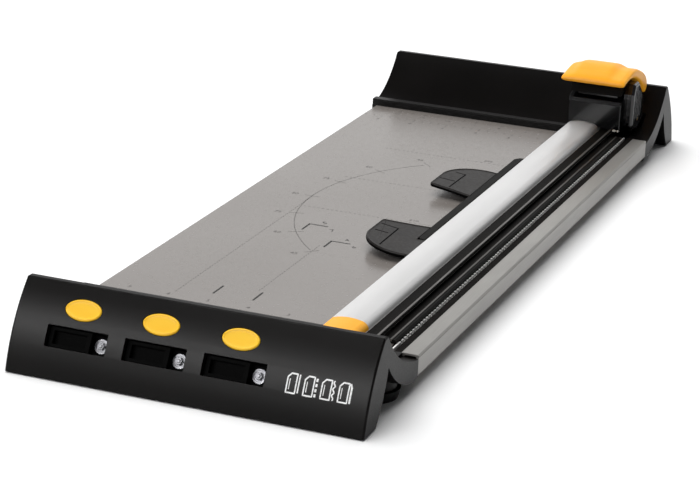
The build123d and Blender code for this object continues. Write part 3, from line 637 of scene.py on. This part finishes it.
# ----------------------------------------------------- stored cartridges' wheels
# (radius, height) in mm
WHEEL_DISC = [(4.3, -1.4), (4.6, -1.1), (4.1, -0.5), (3.2, -0.45), (3.0, -0.75), (2.5, -0.75),
              (2.3, -0.3)]
WHEEL_NUT = [(2.1, -0.35), (2.1, 0.55), (1.8, 0.8)]
WHEEL_STUD = [(1.05, 0.7), (1.05, 1.15), (0.7, 1.35)]
# Radius inside which the stored wheels are painted dark steel as shade; only the rim outside it
# keeps plain steel.
PAINTED_SHADE_REACH = 3.7 * MM


def stored_wheel(i):
    """Cutting wheel in a stored cartridge: bevelled disc, nut and stud, painted dark as shade
    inside a plain steel rim.
    """
    name = "stored_wheel_%d" % i
    lo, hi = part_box(name)
    centre = (lo + hi) / 2
    disc = lathe(in_metres(WHEEL_DISC), centre, window_out)
    nut = lathe(in_metres(WHEEL_NUT), centre, window_out, sides=6)
    stud = lathe(in_metres(WHEEL_STUD), centre, window_out, sides=20)
    wheel = piece("cutting_wheel_%d" % i, *merged([disc, nut, stud]), "steel", "cartridge_%d" % i,
                  "steel", 30)
    # Faces inside the rim, nut and stud included, are painted dark steel as shade.
    wheel.data.materials.append(LOOKS["dark_steel"])
    for face in wheel.data.polygons:
        arm = face.center - centre
        reach = (arm - window_out * arm.dot(window_out)).length
        face.material_index = 1 if reach < PAINTED_SHADE_REACH else 0
    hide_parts(name)


# ------------------------------------------------------------------- clamp's pads
PAD_LENGTH = 58.0
PAD_THICK = 3.0
PAD_DISH = PAD_THICK - 0.35
# Height below which the pad's steep faces are painted near-black as shade.
PAD_WALL = PAD_THICK - 0.8
STEEP = 0.8    # a face whose normal leans less than this towards up is a wall
PAD_TILT = math.radians(5.5)
# (inset from the outline, height) in mm, from the underside over the rim into the dish
PAD_RINGS = [(0.9, 0.1), (0.3, 0.3), (0.05, 1.0), (0.0, PAD_THICK - 1.1), (0.2, PAD_THICK - 0.35),
             (0.55, PAD_THICK - 0.05), (0.95, PAD_THICK), (1.25, PAD_DISH + 0.05),
             (1.8, PAD_DISH), (3.2, PAD_DISH)]
# grip lines in mm: outwards from the spine, along from the pad's straight edge
GRIP_LINES = {
    "clamp_pad_front": [((28.3, 14.8), (16.0, 16.6)), ((16.0, 16.6), (15.6, 50.9)),
                        ((27.6, 27.9), (18.4, 28.3))],
    "clamp_pad_rear": [((23.4, 39.7), (16.4, 39.4)), ((16.4, 39.4), (17.0, 7.5)),
                       ((28.8, 21.4), (17.9, 21.5))],
}
GRIP_HALF_WIDTH = 0.5


def pad_outline(tongue):
    """Outline of a finger pad as (point, inward direction), outwards and along in mm.

    The front pad's tongue, given as (outwards, along) of its inner corner, reaches the rail.
    """
    def v(a, b):
        return Vector((a, b))

    curve = arc_through(v(0, 0), v(14, 3.4), v(27.8, 6), 10)
    curve += arc_through(v(27.8, 6), v(29.8, 7), v(30.5, 9), 7)[1:]
    curve += arc_through(v(30.5, 30), v(23.8, 48.6), v(0, PAD_LENGTH), 24)
    line = [(curve[0], v(0, 1))]
    for before, here, after in zip(curve, curve[1:], curve[2:]):
        along = (after - before).normalized()
        line.append((here, v(-along.y, along.x)))
    line.append((curve[-1], v(0, -1)))
    if tongue:
        out, along = tongue
        line += [(v(out, PAD_LENGTH), v(1, -1)), (v(out, along), v(1, 0)), (v(0, along), v(0, 0))]
    return line


def grip_strokes(node, place):
    """Grip lines: thin near-black strips standing a hair above the dish, painted shade for engraved
    grooves.
    """
    parts = []
    for start, end in GRIP_LINES[node]:
        a, b = Vector(start), Vector(end)
        along = (b - a).normalized()
        aside = Vector((-along.y, along.x)) * GRIP_HALF_WIDTH
        corners = [a - aside, a + aside, b + aside, b - aside]
        parts.append(capped_loops([[place(*corner, height) for corner in corners]
                                   for height in (PAD_DISH - 0.1, PAD_DISH + 0.04)]))
    return parts


def finger_pad(side, node):
    """Smoke-tinted pad with a rounded rim, a shallow dish and three grip lines.

    side is 1 where the pad runs towards the rear from its straight edge, and -1 towards the front.
    """
    spine_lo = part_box("clamp_spine")[0]
    pad_lo, pad_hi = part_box(node)
    edge_y = pad_lo.y if side > 0 else pad_hi.y
    root = Vector((spine_lo.x, edge_y, pad_lo.z))
    outwards = Vector((-math.cos(PAD_TILT), 0, math.sin(PAD_TILT)))
    up = Vector((math.sin(PAD_TILT), 0, math.cos(PAD_TILT)))

    def place(out, length, height):
        """Point in mm: out along the tilted pad (level where negative), length along its edge."""
        across = outwards * (max(out, 0.0) * MM) - Vector((min(out, 0.0) * MM, 0, 0))
        return root + across + Vector((0, side * length * MM, 0)) + up * (height * MM)

    tongue = None
    if side < 0:
        tongue = ((spine_lo.x - pad_hi.x) / MM, (edge_y - spine_lo.y) / MM)
    line = pad_outline(tongue)
    loops = [[place(*(point + inward * inset), height) for point, inward in line]
             for inset, height in PAD_RINGS]
    pad = piece(node.replace("clamp_pad", "finger_pad"), *capped_loops(loops), "smoke_plastic",
                "paper_clamp", "smoke_plastic", 40)
    # The pad's low steep walls are painted near-black as shade; its top and rim stay smoke plastic.
    pad.data.materials.append(LOOKS["deep_black"])
    for face in pad.data.polygons:
        low = (face.center - root).dot(up) < PAD_WALL * MM
        face.material_index = 1 if low and abs(face.normal.dot(up)) < STEEP else 0
    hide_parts(node)
    piece(node.replace("clamp_pad", "pad_lines"), *merged(grip_strokes(node, place)),
          "deep_black", "paper_clamp", "clamp_black")


# -------------------------------------------------------------------- table print
INCH = 25.4
INK = 0.03 * MM
ARC_STEPS = 60
TICK = 0.35    # widths of printed lines, in mm
DOT = 0.42
BOLD = 1.3
SCALE_RADIUS = 148.5
MARK_TURN = math.radians(35)


def on_table(across, along):
    """Point of the table: across from the cut line (left is negative), along from the front."""
    return cut_x + across * MM, -fence_y + along * MM


def bar_print(across, along, wide, tall):
    """Printed bar centred on a point of the table, in mm."""
    x, y = on_table(across, along)
    half_x, half_y = wide * MM / 2, tall * MM / 2
    return brick((x - half_x, y - half_y, table_z), (x + half_x, y + half_y, table_z + INK))


def ray_print(centre, angle, r0, r1, wide):
    """Printed stroke from r0 to r1 mm out from a centre, at an angle in radians."""
    x, y = on_table(*centre)
    out = Vector((-math.cos(angle), math.sin(angle), 0))
    side = Vector((out.y, -out.x, 0)) * (wide * MM / 2)
    base = Vector((x, y, table_z))
    corners = [base + out * (r0 * MM) - side, base + out * (r0 * MM) + side,
               base + out * (r1 * MM) + side, base + out * (r1 * MM) - side]
    return capped_loops([corners, [c + Vector((0, 0, INK)) for c in corners]])


def arc_print(centre, radius, start, end, wide):
    """Printed arc, angles in radians from the -X direction."""
    x, y = on_table(*centre)
    loops = []
    for k in range(ARC_STEPS + 1):
        angle = start + (end - start) * k / ARC_STEPS
        out = Vector((-math.cos(angle), math.sin(angle), 0))
        ring = []
        for r, h in ((-1, 0), (1, 0), (1, 1), (-1, 1)):
            ring.append(Vector((x, y, table_z + h * INK))
                        + out * ((radius + r * wide / 2) * MM))
        loops.append(ring)
    return capped_loops(loops)


def numeral(text, across, along, size, turn=0.0):
    """Printed number lying on the table, size in mm and turn in radians."""
    curve = bpy.data.curves.new("numeral", "FONT")
    curve.body = text
    curve.size = size * MM
    curve.align_x = "CENTER"
    curve.align_y = "CENTER"
    curve.extrude = INK / 2
    curve.resolution_u = 3
    holder = bpy.data.objects.new("numeral", curve)
    mesh = bpy.data.meshes.new_from_object(holder)
    x, y = on_table(across, along)
    spot = Matrix.Translation((x, y, table_z + INK / 2)) @ Matrix.Rotation(turn, 4, "Z")
    verts = [spot @ v.co for v in mesh.vertices]
    faces = [tuple(face.vertices) for face in mesh.polygons]
    bpy.data.objects.remove(holder)
    bpy.data.curves.remove(curve)
    bpy.data.meshes.remove(mesh)
    return verts, faces


def dotted(start, step, count, wide, tall):
    """Row of printed dashes; start and step are (across, along)."""
    return [bar_print(start[0] + k * step[0], start[1] + k * step[1], wide, tall)
            for k in range(count)]


def inch_ruler(edge, away, short, long):
    """Quarter-inch ticks from 2 to 7.5 inches, away is 1 towards the rear or -1 to the front."""
    parts = []
    for k in range(8, 31):
        tall = short if k % 4 else long
        parts.append(bar_print(-k * INCH / 4, edge + away * tall / 2, TICK, tall))
    return parts


def fine_print():
    """Grey rulers, guide lines and angle scale."""
    length = 2 * fence_y / MM
    # inch ruler behind the front fence
    parts = inch_ruler(8.0, 1, 2.6, 5.0)
    parts += [numeral(str(k), -k * INCH + 2.6, 17.5, 4.6) for k in range(2, 8)]
    # centimetre ruler along the rear fence, and an inch one in front of it
    for k in range(5, 19):
        parts.append(bar_print(-k * 10.0, length - 7.0, 0.4, 7.0))
        parts.append(bar_print(-k * 10.0 - 5, length - 5.0, TICK, 3.5))
    parts += [numeral(str(k), -k * 10.0, length - 15.0, 4.6) for k in range(5, 19, 2)]
    parts += inch_ruler(length - 24.0, -1, 3.0, 5.5)
    parts += [numeral(str(k), -k * INCH, length - 35.0, 5.0) for k in range(2, 8)]
    # guide lines across the table for three sheet lengths
    for along, label in ((211.5, "210"), (285.0, "279"), (363.0, "356")):
        parts += dotted((-58.0, along), (-3.2, 0.0), 28, 1.6, DOT)
        parts.append(numeral(label, -70.0, along + 4.4, 4.4))
    # guide lines along the table
    parts += dotted((-148.0, 24.0), (0.0, 3.4), 62, DOT, 1.9)
    parts += dotted((-105.0, 48.0), (0.0, 3.4), 28, DOT, 1.9)
    # angle scale about the middle of the cut line
    centre = (0.0, length / 2)
    parts.append(arc_print(centre, SCALE_RADIUS, math.radians(-44), math.radians(44), 0.45))
    for degrees in range(-45, 46, 15):
        angle = math.radians(degrees)
        parts.append(ray_print(centre, angle, SCALE_RADIUS - 5.0, SCALE_RADIUS + 5.0, 0.4))
        across = -(SCALE_RADIUS + 12.0) * math.cos(angle)
        along = centre[1] + (SCALE_RADIUS + 12.0) * math.sin(angle)
        parts.append(numeral(str(90 - abs(degrees)), across, along, 5.0))
    piece("fine_print", *merged(parts), "grey_ink", "root", "table_grey")


def bold_print():
    """Black corner marks and dashes for two sheet sizes."""
    parts = []
    for across, corner in ((-5 * INCH, 7 * INCH), (-4 * INCH, 6 * INCH)):
        parts.append(bar_print(across, 37.5, BOLD, 15.0))
        parts.append(bar_print(across, corner - 6.5, BOLD, 13.0))
        parts.append(bar_print(across + 6.0, corner, 12.0 + BOLD, BOLD))
    parts.append(numeral("5", -5 * INCH + 8, 7 * INCH + 6, 6.5, MARK_TURN))
    parts.append(numeral("7", -5 * INCH + 18, 7 * INCH - 6, 6.5, MARK_TURN))
    parts.append(numeral("4", -4 * INCH + 8, 6 * INCH + 6, 5.5, MARK_TURN))
    parts.append(numeral("6", -4 * INCH + 17, 6 * INCH - 5, 5.5, MARK_TURN))
    piece("bold_print", *merged(parts), "black_ink", "root", "clamp_black")


# ------------------------------------------------------------ front cap's symbols
RIBBON = ((-1, -0.05), (1, -0.05), (1, 0.03), (-1, 0.03))    # (side, depth in mm)
SYMBOL_STEP = 0.6 * MM


def stamped(line, wide, hit, closed=False):
    """Thin closed ribbon along a line of (x, z) points in metres, lying on the cap's face."""
    loops = []
    count = len(line)
    for k in range(count):
        before = line[k - 1] if closed or k else line[k]
        after = line[(k + 1) % count] if closed or k < count - 1 else line[k]
        along = (after - before).normalized()
        side = Vector((-along.y, along.x)) * (wide / 2)
        ring = []
        for sign, depth in RIBBON:
            spot = line[k] + side * sign
            ring.append(hit(spot) + Vector((0, depth * MM, 0)))
        loops.append(ring)
    return joined_loops(loops + [loops[0]]) if closed else capped_loops(loops)


def fine_line(corners, closed=False):
    """The line through the corners, with a point about every SYMBOL_STEP."""
    ends = corners[1:] + ([corners[0]] if closed else [])
    line = []
    for a, b in zip(corners, ends):
        parts = max(1, round((b - a).length / SYMBOL_STEP))
        line += [a.lerp(b, k / parts) for k in range(parts)]
    return line if closed else line + [corners[-1]]


def sheet_symbols():
    """Four outline pictures of a sheet beside a cut: straight, dashed, wavy, slanted at the top."""
    cap = BVHTree.FromObject(frame["nodes"]["front_cap"],
                             bpy.context.evaluated_depsgraph_get())

    def hit(spot):
        """Point of the cap's outer face seen from the front at x and z."""
        return cap.ray_cast(Vector((spot.x, -1.0, spot.y)), Vector((0, 1, 0)))[0]

    parts = []
    first_x, pitch, low_z = 59.4 * MM, 9.9 * MM, 17.4 * MM
    width, tall, notch, stroke = 5.2 * MM, 9.4 * MM, 1.8 * MM, 0.78 * MM
    for i in range(4):
        left = first_x + i * pitch

        def at(a, b):
            return Vector((left + a, low_z + b))

        page = [at(0, 0), at(width, 0), at(width, tall), at(notch, tall), at(0, tall - notch)]
        fold = [at(1.4 * MM, 1.6 * MM), at(1.4 * MM, tall - 2.6 * MM)]
        parts.append(stamped(fine_line(page, True), stroke, hit, True))
        parts.append(stamped(fine_line(fold), stroke * 0.6, hit))
        edge = width + 1.5 * MM
        if i == 0:
            straight = [at(edge, 0.4 * MM), at(edge, tall)]
            parts.append(stamped(fine_line(straight), stroke, hit))
        elif i == 1:
            for k in range(4):
                base = k * 2.5 * MM
                dash = [at(edge, base), at(edge, base + 1.5 * MM)]
                parts.append(stamped(fine_line(dash), stroke * 1.5, hit))
        elif i == 2:
            wave = [at(edge + 0.5 * MM * math.sin(k * 0.95), tall * k / 20) for k in range(21)]
            parts.append(stamped(wave, stroke, hit))
        else:
            slanted = [at(edge, 0), at(edge, tall - notch), at(edge - notch * 0.5, tall)]
            parts.append(stamped(fine_line(slanted), stroke * 1.3, hit))
    piece("sheet_symbols", *merged(parts), "white_ink", "root", "nylon")


# ---------------------------------------------------------------- carriage details
RIB_FIRST = 6.0
RIB_PITCH = 4.6
RIB_SUNK = 0.15
RIB_TOP = 55.5 * MM
RIB_TOP_STEP = 1.9 * MM
# (along Y, out of the guard) in mm
RIB_SECTION = [(-0.9, 0.0), (-0.55, 0.45), (0.0, 0.62), (0.55, 0.45), (0.9, 0.0)]


def guard_ribs():
    """Raised finger ribs on the cutter guard's outer face."""
    lo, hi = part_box("blade_guard")
    parts = []
    for k in range(4):
        y = lo.y + (RIB_FIRST + RIB_PITCH * k) * MM
        top = RIB_TOP - max(0, k - 1) * RIB_TOP_STEP
        # (height, share of the full section)
        stations = [(33.0 * MM, 0.0), (33.8 * MM, 0.7), (35.0 * MM, 1.0), (top - 2.0 * MM, 1.0),
                    (top - 0.8 * MM, 0.7), (top, 0.0)]
        parts.append(capped_loops([[Vector((hi.x + (b * swell - RIB_SUNK) * MM, y + a * MM, z))
                                    for a, b in RIB_SECTION]
                                   for z, swell in stations]))
    piece("guard_ribs", *merged(parts), "gloss_black", "press_head", "smoke_guard", 50)


def rail_wipers():
    """Two small flat nylon wipers under the front foot of the carriage."""
    lo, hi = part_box("carriage_body")
    rib_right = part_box("rib_cover")[1].x
    foot_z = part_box("glide_shoes")[1].z
    parts = []
    for left, right in ((rib_right + 0.3 * MM, rib_right + 3.1 * MM),
                        (hi.x - 1.6 * MM, hi.x - 0.2 * MM)):
        half = (right - left) / 2
        centre = Vector(((left + right) / 2, lo.y, foot_z - 0.55 * MM))
        profile = [(half, -1.6 * MM), (half, 0.35 * MM), (half * 0.85, 0.55 * MM)]
        parts.append(lathe(profile, centre, Vector((0, -1, 0)), sides=24,
                           flatten=0.8 * MM / half))
    piece("rail_wipers", *merged(parts), "nylon", "carriage", "nylon")


saddle_handle()
press_cowl()
for number in (1, 2, 3):
    eject_button(number)
    button_spring(number)
    stored_wheel(number)
press_spring_pair()
clamp_spring_pair()
finger_pad(-1, "clamp_pad_front")
finger_pad(1, "clamp_pad_rear")
fine_print()
bold_print()
sheet_symbols()
guard_ribs()
rail_wipers()


# ------------------------------------------------------------------------- studio
FLOOR_REACH = 12.0
AIM = Vector((7.1 * MM, -92.4 * MM, table_z))
CAMERA = {"azimuth": 20.85, "elevation": 18.78, "distance": 1.4972, "roll": 2.45, "lens": 124.16}
# name, place, target, size, power, and what the light is for
SOFTBOXES = [
    ("overhead", (-0.5, 0.3, 2.0), (0, 0, 0), (2.6, 2.6), 66.0, "diffuse"),
    ("front_fill", (-0.75, -1.95, 1.2), (0, -0.31, 0.03), (1.5, 0.4), 15.0, "diffuse"),
    ("far_card", (-0.7, 2.6, 0.95), (0, 0, 0.1), (4.4, 1.5), 21.0, "both"),
    ("front_band", (-0.57, -1.55, 0.87), (0, -0.315, 0.03), (1.4, 0.2), 22.0, "gloss"),
    ("line_card", (-0.107, -0.335, 0.412), (0.068, 0.236, 0.047), (0.4, 0.05), 1.0, "gloss"),
]


def floor_paint():
    """Matt near-white paint."""
    finish = Finish("floor_paint", specular=0.2)
    finish.colour(finish.noise(0.8), (0.95, 0.95, 0.95), (0.97, 0.97, 0.97))
    finish.roughness(finish.noise(0.05), 0.75, 0.85)
    return finish.material


def studio_floor():
    """Plain pale floor."""
    mesh = bpy.data.meshes.new("studio_floor")
    corners = [(x * FLOOR_REACH, y * FLOOR_REACH, 0)
               for x, y in ((-1, -1), (1, -1), (1, 1), (-1, 1))]
    mesh.from_pydata(corners, [], [(0, 1, 2, 3)])
    mesh.materials.append(floor_paint())
    floor = bpy.data.objects.new("studio_floor", mesh)
    bpy.context.scene.collection.objects.link(floor)


def softbox(name, place, target, size, power, shown):
    """Rectangular area light at place that faces target and shows in gloss, in diffuse or both."""
    light = bpy.data.lights.new(name, "AREA")
    light.shape = "RECTANGLE"
    light.size, light.size_y = size
    light.energy = power
    lamp = bpy.data.objects.new(name, light)
    bpy.context.scene.collection.objects.link(lamp)
    lamp.location = place
    lamp.visible_glossy = shown != "diffuse"
    lamp.visible_diffuse = shown != "gloss"
    lamp.rotation_euler = (Vector(target) - Vector(place)).to_track_quat("-Z", "Y").to_euler()


def studio_world():
    """Faint pale surroundings."""
    world = bpy.data.worlds.new("studio")
    bpy.context.scene.world = world
    world.use_nodes = True
    background = world.node_tree.nodes["Background"]
    background.inputs["Color"].default_value = (0.97, 0.98, 1.0, 1)
    background.inputs["Strength"].default_value = 0.1


def studio_camera():
    """Camera round the aim point: azimuth from -Y towards +X, roll about its own axis."""
    azimuth = math.radians(CAMERA["azimuth"])
    elevation = math.radians(CAMERA["elevation"])
    back = Vector((math.sin(azimuth) * math.cos(elevation),
                   -math.cos(azimuth) * math.cos(elevation), math.sin(elevation)))
    data = bpy.data.cameras.new("camera")
    data.lens = CAMERA["lens"]
    camera = bpy.data.objects.new("camera", data)
    bpy.context.scene.collection.objects.link(camera)
    turn = back.to_track_quat("Z", "Y").to_matrix()
    roll = Matrix.Rotation(math.radians(CAMERA["roll"]), 3, "Z")
    place = Matrix.Translation(AIM + back * CAMERA["distance"])
    camera.matrix_world = place @ (turn @ roll).to_4x4()
    bpy.context.scene.camera = camera


studio_floor()
studio_world()
studio_camera()
for box in SOFTBOXES:
    softbox(*box)
bpy.context.scene.view_settings.view_transform = "Standard"
